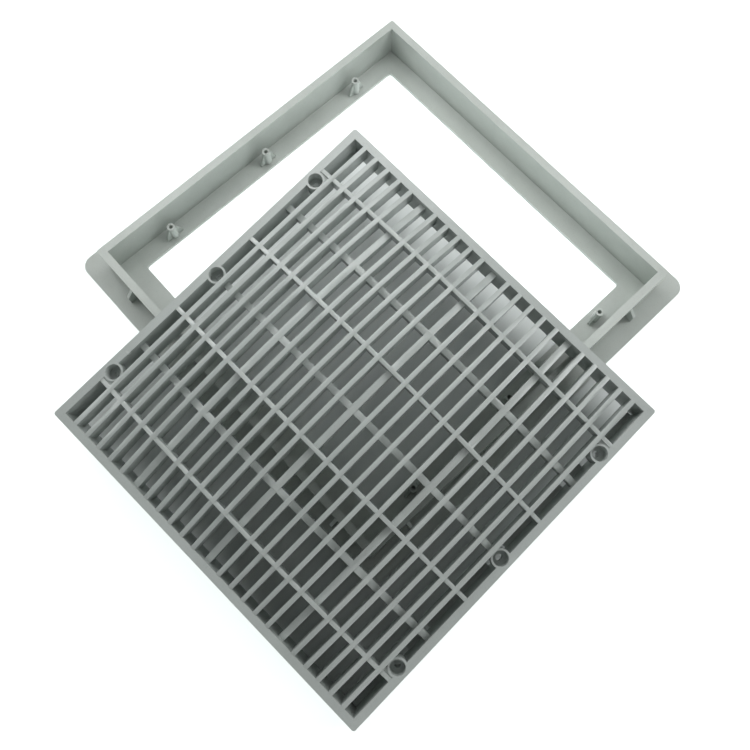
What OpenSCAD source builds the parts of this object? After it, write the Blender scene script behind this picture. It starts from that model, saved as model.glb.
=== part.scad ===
// Square main drain set for a swimming pool floor: a low seat frame with a
// drained pocket, and the crowned anti-vortex grate that drops into it.
// The frame lies flat on the floor.  The grate leans on it: its near corner
// stands on the floor and two of its border walls rest on the frame's rim.

/* [Seat frame] */
// Half width of the base plate, centre to outer edge
plate_half = 174; // [168:0.5:180]
// Thickness of the base plate
plate_t = 2.5; // [2:0.1:4]
// Corner radius of the base plate
plate_r = 10; // [4:0.5:14]
// Half width of the clear opening over the sump
opening_half = 135.5; // [125:0.5:136]
// Corner radius of the clear opening
opening_r = 2.5; // [1:0.5:6]
// Half width of the pocket that takes the grate
pocket_half = 151.1; // [150.6:0.1:152]
// Thickness of the pocket wall
wall_t = 6.3; // [5:0.1:7]
// Outer corner radius of the pocket wall
wall_r = 1.5; // [1:0.1:4]
// Depth of the pocket, rim to ledge
pocket_d = 29; // [26:0.5:32]

/* [Screw posts] */
// Distance of the two screw rows from the middle
screw_x = 142; // [141:0.1:143]
// Spacing of the screws along a row
screw_pitch = 100.5; // [98:0.5:104]
// Outer diameter of a post
post_d = 6.6; // [6.2:0.1:8]
// Height of a post above the ledge
post_h = 15; // [12:0.5:15.4]
// Pilot hole in a post
pilot_d = 3.3; // [2.8:0.1:3.8]
// Depth of the pilot hole
pilot_deep = 13; // [8:0.5:14]
// Thickness of the fin that stiffens a post, along its row
fin_t = 1.8; // [1.2:0.1:2.4]
// Reach of the fin at the ledge, to either side of the post
fin_reach = 7.8; // [5:0.1:8.4]
// Height of the fin's two ends
fin_end = 2.2; // [1:0.1:6]

/* [Outer gussets] */
// Thickness of a gusset between wall and base plate
gusset_t = 2.6; // [2:0.1:4]
// Height of a gusset at the wall
gusset_h = 14.5; // [8:0.5:26]
// Height of a gusset at its outer end
gusset_lip = 8; // [2:0.5:8]
// Reach of a gusset away from the wall
gusset_reach = 6; // [4:0.5:12]
// Distance of the gussets from the middle of a side
gusset_at = 120.5; // [90:0.5:125]

/* [Grate] */
// Half width of the grate
grate_half = 150; // [149:0.1:150]
// Width of the border at its top
border_w = 6; // [5:0.1:7]
// Depth of the border
border_d = 29; // [26:0.5:30]
// Corner radius of the border
grate_r = 2; // [1:0.1:4]
// Rise of the crown in the middle
crown_h = 32.5; // [24:0.5:36]
// Thickness of a thin bar
bar_t = 3.4; // [3:0.1:3.8]
// Depth of the bars
bar_d = 15.5; // [12:0.5:17]
// Centre to centre distance of the bars
bar_pitch = 11.97; // [11.5:0.01:12.2]
// Distance from a low rib to the bar beside it
rib_gap = 12.65; // [12.2:0.01:13]
// Distance between the low ribs
rib_pitch = 73.2; // [72.5:0.1:73.5]
// Thickness of a low rib
rib_t = 4.9; // [4:0.1:5.5]
// How far the long low ribs lie below the bars
rib_drop = 5.8; // [5:0.1:7]
// How far the low cross ribs lie below the bars
low_cross_drop = 6.3; // [5.5:0.1:7.5]
// Thickness of a thin cross rib
cross_t = 3.1; // [2.6:0.1:3.6]
// Depth of a thin cross rib
cross_d = 12; // [8:0.5:14]
// Half length of the low cross rib in the middle
mid_cross_half = 132; // [120:1:134]

/* [Screw rings] */
// Outer diameter of a screw ring
ring_d = 14; // [13.6:0.1:15]
// Recess for the screw head
head_d = 11; // [9:0.1:12]
// Depth of that recess
head_deep = 10.4; // [6:0.1:11]
// Clearance hole for the screw
hole_d = 4.8; // [4:0.1:5.5]
// Thickness of the seat under the screw head
seat_t = 3.2; // [2:0.1:3.4]
// Groove in the border wall that clears the post
socket_d = 9; // [8:0.1:10]

/* [Retaining lip] */
// How far the lip stands out from the side walls
lip_w = 3.5; // [2:0.1:4]
// Thickness of the lip
lip_t = 3; // [2:0.1:4]

/* [Leaning pose] */
// Position of the grate's middle from the frame's middle, to the right
lean_x = 75.0; // [72:0.1:78]
// Position of the grate's middle from the frame's middle, away from the viewer
lean_y = -96.1; // [-99:0.1:-93]
// Turn of the grate against the frame, in degrees
lean_turn = 2.35; // [1.5:0.05:3.5]
// Air left between the grate and the rim that it rests on
rest_gap = 0.02; // [0.01:0.01:0.1]

/* [Hidden] */
$fn = 96;
rim_h = plate_t + pocket_d;              // rim above the floor
wall_half = pocket_half + wall_t;        // outer face of the pocket wall
inner_half = grate_half - border_w;      // inner face of the grate's border
arc_half = inner_half + 0.6;             // where the crown meets the border
screw_y = [-screw_pitch, 0, screw_pitch];
bar_x = [for (side = [-1, 1])
    each concat(
        [for (k = [0:4]) side * (rib_gap + k * bar_pitch)],
        [for (k = [0:4]) side * (rib_pitch + rib_gap + k * bar_pitch)])];

// ---- where the grate comes to rest -------------------------------------
// Three contacts fix it: the near corner on the floor, the left wall's lip on
// the rim of the frame's front wall, and the far wall on the rim of its right
// wall.  g is the rise of the underside along two level axes.
function turned(p) = [p.x * cos(lean_turn) - p.y * sin(lean_turn),
                      p.x * sin(lean_turn) + p.y * cos(lean_turn)];
function level(w, g) = let (s = norm(g), v = g / s)
    [lean_x, lean_y] + w - v * (v * w) * (1 - sqrt(1 - s * s));
near_c = turned([grate_half - grate_r, grate_r - grate_half]);
function settle(n, g, y1, x2) = n == 0 ? [g.x, g.y, y1, x2] :
    let (w1 = turned([lip_w - inner_half, y1]),
         w2 = turned([x2, inner_half]),
         a = w1 - w2,
         pa = [-a.y, a.x],
         rise = rim_h + rest_gap - grate_r * norm(g),
         gn = pa * rise / (pa * (w1 - near_c)),
         l1 = level(w1, gn),
         l2 = level(w2, gn))
    settle(n - 1, gn, y1 - (l1.y + wall_half), x2 - (l2.x - wall_half));
rest = settle(14, [-0.08, 0.08], -47, 85);
g = [rest[0], rest[1]];
tilt = asin(norm(g));
up = g / norm(g);
rest_z = rim_h + rest_gap - g * turned([lip_w - inner_half, rest[2]]);

// ---- middle of the whole set's plan, taken as the origin -----------------
nrm = [-sin(tilt) * up.x, -sin(tilt) * up.y, cos(tilt)];
function spun(p) = let (w = turned(p), q = level(w, g))
    [q.x + nrm.x * p.z, q.y + nrm.y * p.z];
corners = [for (x = [-1, 1], y = [-1, 1], z = [0, border_d])
    spun([x * (grate_half - grate_r), y * (grate_half - grate_r), z])];
reach_x = grate_r * sqrt(1 - nrm.x * nrm.x);
reach_y = grate_r * sqrt(1 - nrm.y * nrm.y);
hi_x = max(plate_half, max([for (c = corners) c.x]) + reach_x);
lo_x = min(-plate_half, min([for (c = corners) c.x]) - reach_x);
hi_y = max(plate_half, max([for (c = corners) c.y]) + reach_y);
lo_y = min(-plate_half, min([for (c = corners) c.y]) - reach_y);
mid = [(hi_x + lo_x) / 2, (hi_y + lo_y) / 2];

// ---- shared shapes --------------------------------------------------------
// square outline with round corners
module rounded_square(half, r) {
    square([2 * half, 2 * (half - r)], center = true);
    square([2 * (half - r), 2 * half], center = true);
    for (x = [-1, 1], y = [-1, 1])
        translate([x * (half - r), y * (half - r)]) circle(r);
}

// rise of a circular crown of sagitta h at distance s from the middle
function arc_r(h) = (arc_half * arc_half + h * h) / (2 * h);
function arc_z(h, s) = sqrt(arc_r(h) * arc_r(h) - s * s) - arc_r(h) + h;

// upright bar along Y whose top follows the crown: from drop to deep below it
module bowed(h, t, drop, deep, half) {
    R = arc_r(h);
    rotate([90, 0, 90])
        translate([0, 0, -t / 2])
            linear_extrude(t)
                translate([0, h - R])
                    intersection() {
                        difference() {
                            circle(R - drop, $fn = 360);
                            circle(R - deep, $fn = 360);
                        }
                        translate([-half, 0]) square([2 * half, R + 1]);
                    }
}

// ---- seat frame -------------------------------------------------------------
module gusset() {
    // runs out along +X from the wall, upright
    rotate([90, 0, 0])
        translate([0, 0, -gusset_t / 2])
            linear_extrude(gusset_t)
                polygon([[-1, -1], [gusset_reach, -1], [gusset_reach, gusset_lip],
                         [0, gusset_h], [-1, gusset_h]]);
}

module seat_frame() {
    color([0.70, 0.72, 0.71])
    translate([-mid.x, -mid.y, 0])
    difference() {
        union() {
            // base plate with the ledge
            linear_extrude(plate_t)
                difference() {
                    rounded_square(plate_half, plate_r);
                    rounded_square(opening_half, opening_r);
                }
            // pocket wall
            translate([0, 0, 0.5])
                linear_extrude(rim_h - 0.5)
                    difference() {
                        rounded_square(wall_half, wall_r);
                        square(2 * pocket_half, center = true);
                    }
            // screw posts, each stiffened by a fin that fits the lip's gaps
            for (side = [-1, 1], y = screw_y)
                translate([side * screw_x, y, 0]) {
                    translate([0, 0, plate_t / 2])
                        cylinder(d = post_d, h = post_h + plate_t / 2);
                    translate([-fin_t / 2, 0, plate_t]) rotate([90, 0, 90])
                        linear_extrude(fin_t)
                            polygon([[-fin_reach, -1], [fin_reach, -1],
                                     [fin_reach, fin_end],
                                     [post_d / 2 - 0.5, post_h - 1.2],
                                     [0.5 - post_d / 2, post_h - 1.2],
                                     [-fin_reach, fin_end]]);
                }
            // gussets outside
            for (a = [0:90:270], s = [-1, 1])
                rotate([0, 0, a])
                    translate([wall_half, s * gusset_at, plate_t])
                        gusset();
        }
        for (side = [-1, 1], y = screw_y)
            translate([side * screw_x, y, plate_t + post_h - pilot_deep])
                cylinder(d = pilot_d, h = pilot_deep + 1);
    }
}

// ---- grate ---------------------------------------------------------------------
module ring_body() {
    translate([0, 0, -head_deep - seat_t]) cylinder(d = ring_d, h = head_deep + seat_t);
}

module ring_cuts() {
    translate([0, 0, -head_deep]) cylinder(d = head_d, h = head_deep + 12);
    translate([0, 0, -head_deep - seat_t - 1]) cylinder(d = hole_d, h = seat_t + 2);
    translate([0, 0, -border_d - 1])
        cylinder(d = socket_d, h = border_d - head_deep - seat_t + 1);
}

module grate_flat() {
    difference() {
        union() {
            // border wall
            translate([0, 0, -border_d])
                linear_extrude(border_d)
                    difference() {
                        rounded_square(grate_half, grate_r);
                        square(2 * inner_half, center = true);
                    }
            // thin bars
            for (x = bar_x)
                translate([x, 0, 0])
                    bowed(arc_z(crown_h, abs(x)), bar_t, 0, bar_d, inner_half + 3);
            // long low ribs
            for (x = [-rib_pitch, 0, rib_pitch])
                translate([x, 0, 0])
                    bowed(arc_z(crown_h, abs(x)), rib_t, rib_drop, bar_d, inner_half + 3);
            // thin cross ribs, level with the bars
            for (y = [-1.5, -0.5, 0.5, 1.5] * rib_pitch)
                translate([0, y, 0]) rotate([0, 0, 90])
                    bowed(arc_z(crown_h, abs(y)), cross_t, 0.4, cross_d, inner_half + 3);
            // low cross ribs
            for (k = [-1, 0, 1])
                translate([0, k * rib_pitch, 0]) rotate([0, 0, 90])
                    bowed(arc_z(crown_h, abs(k * rib_pitch)), rib_t, low_cross_drop,
                          bar_d - 0.6, k == 0 ? mid_cross_half : inner_half + 3);
            // screw rings, and the small webs beside the outer ones
            for (side = [-1, 1], y = screw_y)
                translate([side * screw_x, y, 0]) ring_body();
            for (side = [-1, 1], s = [-1, 1])
                translate([side * (screw_x - 1), s * (screw_pitch + 7.4), -6])
                    cube([ring_d - 3, 5, 10], center = true);
            // retaining lip along the two screw sides
            for (side = [-1, 1], span = [[-143, -112], [-90, -77], [-69, -9],
                                         [9, 69], [77, 90], [112, 143]])
                translate([side * (inner_half - lip_w / 2 + 0.5),
                           (span[0] + span[1]) / 2, -border_d + lip_t / 2])
                    cube([lip_w + 1, span[1] - span[0], lip_t], center = true);
        }
        for (side = [-1, 1], y = screw_y)
            translate([side * screw_x, y, 0]) ring_cuts();
    }
}

module grate() {
    color([0.69, 0.72, 0.71])
    translate([lean_x - mid.x, lean_y - mid.y, rest_z])
        rotate(a = tilt, v = [up.y, -up.x, 0])
            rotate([0, 0, lean_turn])
                translate([0, 0, border_d])
                    grate_flat();
}

seat_frame();
grate();
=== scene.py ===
import math

import bpy
from mathutils import Matrix, Vector

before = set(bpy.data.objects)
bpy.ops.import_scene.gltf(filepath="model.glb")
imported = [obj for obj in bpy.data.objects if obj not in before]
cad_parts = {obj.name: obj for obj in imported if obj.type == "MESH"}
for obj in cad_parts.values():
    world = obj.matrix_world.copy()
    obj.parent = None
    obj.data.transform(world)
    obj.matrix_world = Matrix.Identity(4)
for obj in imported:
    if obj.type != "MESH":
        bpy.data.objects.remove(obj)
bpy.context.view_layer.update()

# ---------------------------------------------------------------- camera
# Fitted to both pieces: it looks down at about 74 degrees, with the corners of
# the two squares pointing at the viewer.
cam_data = bpy.data.cameras.new("camera")
cam_data.lens = 36.78
cam_data.sensor_width = 36.0
cam_data.shift_x = -0.0089
cam_data.shift_y = -0.0200
cam = bpy.data.objects.new("camera", cam_data)
bpy.context.scene.collection.objects.link(cam)
right = Vector((0.67975, 0.73342, 0.00515))
above = Vector((-0.70722, 0.65357, 0.26960))
back = right.cross(above)
turn = Matrix((right, above, back)).transposed().to_4x4()
cam.matrix_world = Matrix.Translation(Vector((0.14003, -0.12105, 0.58357))) @ turn
bpy.context.scene.camera = cam

# ---------------------------------------------------------------- floor
floor_mesh = bpy.data.meshes.new("floor")
half = 12.0
floor_mesh.from_pydata([(-half, -half, 0), (half, -half, 0), (half, half, 0), (-half, half, 0)],
                       [], [(0, 1, 2, 3)])
floor = bpy.data.objects.new("floor", floor_mesh)
bpy.context.scene.collection.objects.link(floor)
floor.location.z = -0.0002
m = bpy.data.materials.new("floor")
m.use_nodes = True
m.node_tree.nodes["Principled BSDF"].inputs["Base Color"].default_value = (0.525, 0.56, 0.55, 1)
m.node_tree.nodes["Principled BSDF"].inputs["Roughness"].default_value = 0.9
floor_mesh.materials.append(m)

# A pale backdrop far round the floor, seen by the camera and by nothing else.
ring, walls, sides = [], [], 48
for i in range(sides):
    a = 2 * math.pi * i / sides
    ring += [(11.5 * math.cos(a), 11.5 * math.sin(a), z) for z in (-0.01, 12.0)]
    j = (i + 1) % sides
    walls.append((2 * i, 2 * j, 2 * j + 1, 2 * i + 1))
back_mesh = bpy.data.meshes.new("backdrop")
back_mesh.from_pydata(ring, [], walls)
backdrop = bpy.data.objects.new("backdrop", back_mesh)
bpy.context.scene.collection.objects.link(backdrop)
m = bpy.data.materials.new("backdrop")
m.use_nodes = True
m.node_tree.nodes["Principled BSDF"].inputs["Base Color"].default_value = (0, 0, 0, 1)
m.node_tree.nodes["Principled BSDF"].inputs["Specular IOR Level"].default_value = 0.0
m.node_tree.nodes["Principled BSDF"].inputs["Emission Color"].default_value = (0.74, 0.785, 0.77, 1)
m.node_tree.nodes["Principled BSDF"].inputs["Emission Strength"].default_value = 1.0
m.cycles.emission_sampling = "NONE"
back_mesh.materials.append(m)
for kind in ("diffuse", "glossy", "transmission", "shadow"):
    setattr(backdrop, "visible_" + kind, False)

# ---------------------------------------------------------------- light
img_right = Vector((0.680, 0.733, 0.0))
img_up = Vector((-0.733, 0.680, 0.0))


def area(name, side, up, height, size, power, colour=(1, 1, 1), aim=(0.0, 0.0, 0.02)):
    data = bpy.data.lights.new(name, "AREA")
    data.shape = "DISK"
    data.size = size
    data.energy = power
    data.color = colour
    ob = bpy.data.objects.new(name, data)
    bpy.context.scene.collection.objects.link(ob)
    ob.location = img_right * side + img_up * up + Vector((0, 0, height))
    ob.rotation_euler = (Vector(aim) - ob.location).to_track_quat("-Z", "Y").to_euler()
    return ob


# A soft ring of lamps, strongest at the far left, and small ones overhead.
area("overhead", 0.0, 0.25, 1.0, 1.2, 1.5)
area("far_left", -0.8, 0.9, 0.8, 0.7, 6.4)
area("left", -1.0, 0.2, 0.8, 0.7, 2.7)
area("right", 1.0, 0.2, 0.8, 0.7, 5.7)
area("near_right", 0.8, -0.8, 0.8, 0.7, 1.4)
area("near", 0.0, -1.0, 0.8, 0.8, 1.9)
area("close", 0.0, 0.30, 0.5, 0.3, 0.56)
area("close_left", -0.25, 0.30, 0.6, 0.3, 0.32)
area("close_right", 0.25, 0.30, 0.6, 0.3, 0.46)

# The floor has a lamp of its own, straight overhead, so that it stays white
# round the object.  A flag at the grate's height keeps that lamp off what shows
# through the slots: it covers what the grate hides of the floor, no more.  Two
# weak low lamps bring the floor up a little under the far half of the grate.
corners = []
lift = []
turn_z = math.radians(2.35)
for qx, qy in ((-1, -1), (1, -1), (1, 1), (-1, 1)):
    way = Vector((qx * math.cos(turn_z) - qy * math.sin(turn_z),
                  qx * math.sin(turn_z) + qy * math.cos(turn_z), 0.02))
    p = max((v.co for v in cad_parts["grate"].data.vertices), key=lambda q: q.dot(way))
    k = cam.location.z / (cam.location.z - p.z)
    corners.append(Vector((cam.location.x + (p.x - cam.location.x) * k,
                           cam.location.y + (p.y - cam.location.y) * k, 0.0)))
    lift.append(Vector((0, 0, max(p.z - 0.030, 0.001))))
centre = sum(corners, Vector()) / 4
flag_mesh = bpy.data.meshes.new("flag")
flag_mesh.from_pydata([tuple(centre + (c - centre) * 0.985 + up) for c, up in zip(corners, lift)],
                      [], [(0, 1, 2), (0, 2, 3)])
flag = bpy.data.objects.new("flag", flag_mesh)
bpy.context.scene.collection.objects.link(flag)
for kind in ("camera", "diffuse", "glossy", "transmission"):
    setattr(flag, "visible_" + kind, False)
floor_only = bpy.data.collections.new("floor_only")
floor_only.objects.link(floor)
flag_only = bpy.data.collections.new("flag_only")
flag_only.objects.link(flag)
wash = bpy.data.objects.new("floor_wash", bpy.data.lights.new("floor_wash", "SUN"))
wash.data.energy = 4.4
wash.data.angle = math.radians(12)
bpy.context.scene.collection.objects.link(wash)
wash.light_linking.blocker_collection = flag_only
glow = area("floor_glow", 0.05, 0.16, 0.22, 0.2, 0.12, aim=(-0.09, 0.13, 0.0))
strip = area("floor_strip", 0.03, 0.07, 0.16, 0.45, 0.15)
strip.data.shape = "ELLIPSE"
strip.data.size_y = 0.12
strip.rotation_euler = (0, 0, math.atan2(img_right.y, img_right.x))
for lamp in (glow, strip):
    lamp.light_linking.blocker_collection = floor_only
for lamp in (wash, glow, strip):
    lamp.light_linking.receiver_collection = floor_only

world = bpy.data.worlds.new("world")
bpy.context.scene.world = world
world.use_nodes = True
world.node_tree.nodes["Background"].inputs["Color"].default_value = (1, 1, 1, 1)
world.node_tree.nodes["Background"].inputs["Strength"].default_value = 0.01
bpy.context.scene.view_settings.view_transform = "Standard"


# ---------------------------------------------------------------- plastic
# Injection moulded ABS.  Broad, faint clouding and flow streaks in the colour,
# a low orange peel with a much finer grain over it, and a gloss that changes a
# little from place to place.  Scales are per metre, in the object's own space.
def plastic(name, deep, mid, pale, gloss, shift, flow):
    mat = bpy.data.materials.new(name)
    mat.use_nodes = True
    nt = mat.node_tree
    bsdf = nt.nodes["Principled BSDF"]
    bsdf.inputs["IOR"].default_value = 1.53
    coord = nt.nodes.new("ShaderNodeTexCoord")

    def noise(scale, detail, rough, stretch=(1, 1, 1)):
        place = nt.nodes.new("ShaderNodeMapping")
        place.inputs["Location"].default_value = shift
        place.inputs["Scale"].default_value = stretch
        nt.links.new(coord.outputs["Object"], place.inputs["Vector"])
        tex = nt.nodes.new("ShaderNodeTexNoise")
        tex.inputs["Scale"].default_value = scale
        tex.inputs["Detail"].default_value = detail
        tex.inputs["Roughness"].default_value = rough
        nt.links.new(place.outputs["Vector"], tex.inputs["Vector"])
        return tex.outputs["Fac"]

    def ramp(fac, stops):
        r = nt.nodes.new("ShaderNodeValToRGB")
        marks = r.color_ramp.elements
        while len(marks) < len(stops):
            marks.new(0.5)
        for mark, (at, tone) in zip(marks, stops):
            mark.position = at
            mark.color = (*tone, 1) if isinstance(tone, tuple) else (tone, tone, tone, 1)
        nt.links.new(fac, r.inputs["Fac"])
        return r.outputs["Color"]

    def times(a, b):
        mix = nt.nodes.new("ShaderNodeMix")
        mix.data_type = "RGBA"
        mix.blend_type = "MULTIPLY"
        mix.inputs[0].default_value = 1.0
        nt.links.new(a, mix.inputs[6])
        nt.links.new(b, mix.inputs[7])
        return mix.outputs[2]

    cloud = ramp(noise(8.0, 5.0, 0.6), ((0.30, deep), (0.52, mid), (0.72, pale)))
    mottle = ramp(noise(70.0, 4.0, 0.55), ((0.32, 0.955), (0.66, 1.0)))
    streak = ramp(noise(26.0, 3.0, 0.5, flow), ((0.35, 0.965), (0.60, 1.0)))
    speck = ramp(noise(900.0, 2.0, 0.5), ((0.30, 0.94), (0.42, 1.0)))
    nt.links.new(times(times(cloud, mottle), times(streak, speck)), bsdf.inputs["Base Color"])

    dull = ramp(noise(22.0, 3.0, 0.55), ((0.25, gloss - 0.02), (0.78, gloss + 0.03)))
    nt.links.new(dull, bsdf.inputs["Roughness"])

    peel = nt.nodes.new("ShaderNodeBump")
    peel.inputs["Strength"].default_value = 0.22
    peel.inputs["Distance"].default_value = 0.00012
    nt.links.new(noise(260.0, 2.0, 0.5), peel.inputs["Height"])
    grain = nt.nodes.new("ShaderNodeBump")
    grain.inputs["Strength"].default_value = 0.25
    grain.inputs["Distance"].default_value = 0.00003
    nt.links.new(noise(1900.0, 3.0, 0.6), grain.inputs["Height"])
    nt.links.new(peel.outputs["Normal"], grain.inputs["Normal"])
    nt.links.new(grain.outputs["Normal"], bsdf.inputs["Normal"])
    return mat


frame_mat = plastic("frame_plastic", (0.492, 0.532, 0.500), (0.510, 0.552, 0.519), (0.528, 0.570, 0.540),
                    0.25, (3.1, 0.7, 1.9), (0.12, 1.0, 1.0))
grate_mat = plastic("grate_plastic", (0.422, 0.460, 0.441), (0.442, 0.480, 0.462), (0.462, 0.500, 0.484),
                    0.25, (0.4, 5.2, 2.6), (1.0, 0.12, 1.0))

for name, mat in (("seat_frame", frame_mat), ("grate", grate_mat)):
    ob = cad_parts[name]
    ob.data.materials.clear()
    ob.data.materials.append(mat)
    w = ob.modifiers.new("weld", "WELD")
    w.merge_threshold = 0.00002
    b = ob.modifiers.new("edges", "BEVEL")
    b.limit_method = "ANGLE"
    b.angle_limit = math.radians(32)
    b.width = 0.0005
    b.segments = 2
    b.use_clamp_overlap = True
    b.harden_normals = False
